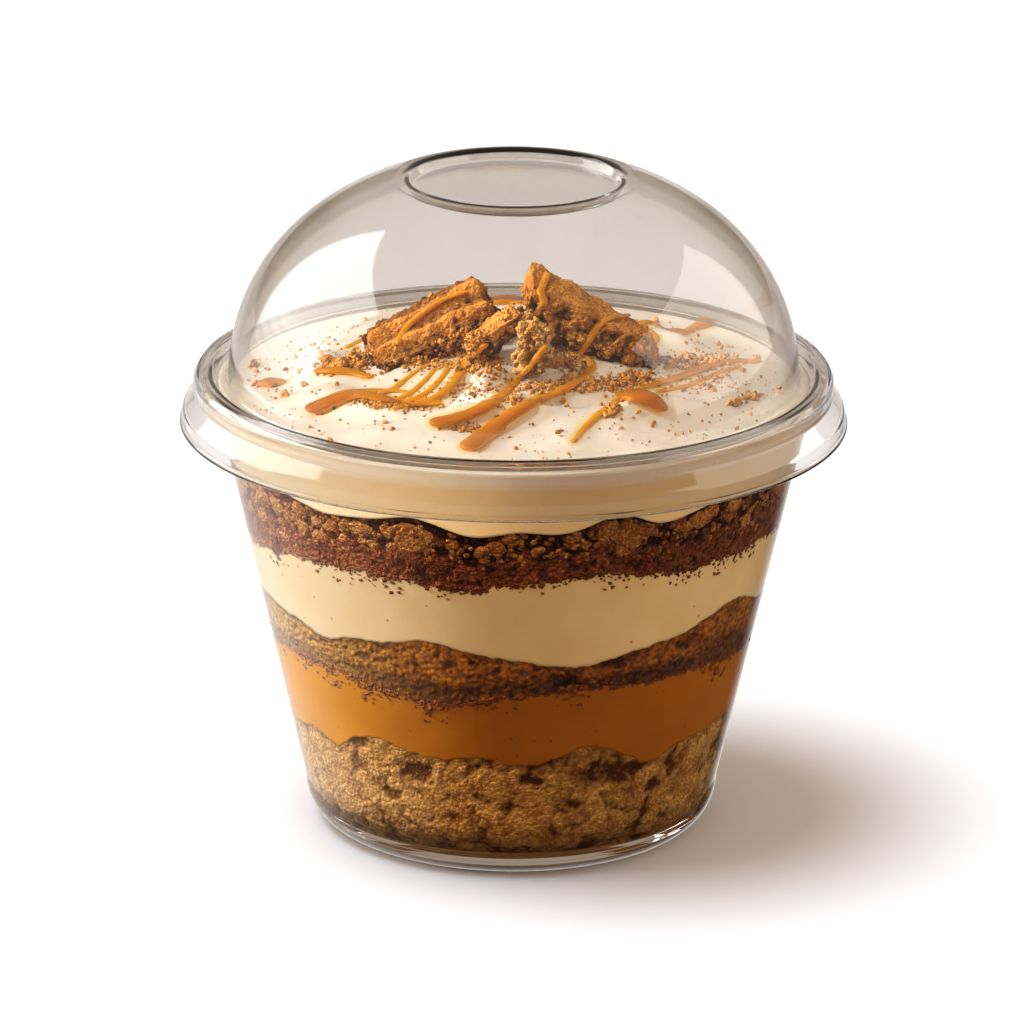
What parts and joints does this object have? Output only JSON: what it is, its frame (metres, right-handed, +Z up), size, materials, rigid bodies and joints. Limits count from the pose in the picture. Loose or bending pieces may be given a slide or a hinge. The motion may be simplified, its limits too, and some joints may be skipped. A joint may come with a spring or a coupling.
{
  "type": "tiramisu",
  "caption": "Layered tiramisu in a clear cup with a dome lid: sponge, caramel cream, vanilla cream and crumble under whipped cream, biscuit pieces and caramel sauce.",
  "frame": {"origin": "centre of the cup's foot, on the surface that it stands on", "axes": "+Z up along the axis of the cup and lid, -Y towards the front of the dessert, +X to its right"},
  "size_m": [0.1024, 0.1024, 0.1027],
  "materials": {
    "clear_plastic": "clear, glossy",
    "sponge": "open crumb, matte",
    "caramel_cream": "smooth, satin",
    "soaked_sponge": "wet crumb",
    "vanilla_cream": "smooth, satin",
    "crumble": "coarse crumbs, matte",
    "whipped_cream": "soft, satin",
    "biscuit": "baked crumb, matte",
    "caramel_sauce": "glossy syrup"
  },
  "bodies": {
    "root": {"cup": "clear_plastic", "dome_lid": "clear_plastic", "sponge_base": "sponge", "caramel_cream": "caramel_cream", "soaked_sponge": "soaked_sponge", "vanilla_cream": "vanilla_cream", "biscuit_crumble": "crumble", "whipped_cream": "whipped_cream", "biscuit_left": "biscuit", "biscuit_right": "biscuit", "biscuit_middle": "biscuit", "biscuit_block": "biscuit"}
  },
  "joints": []
}
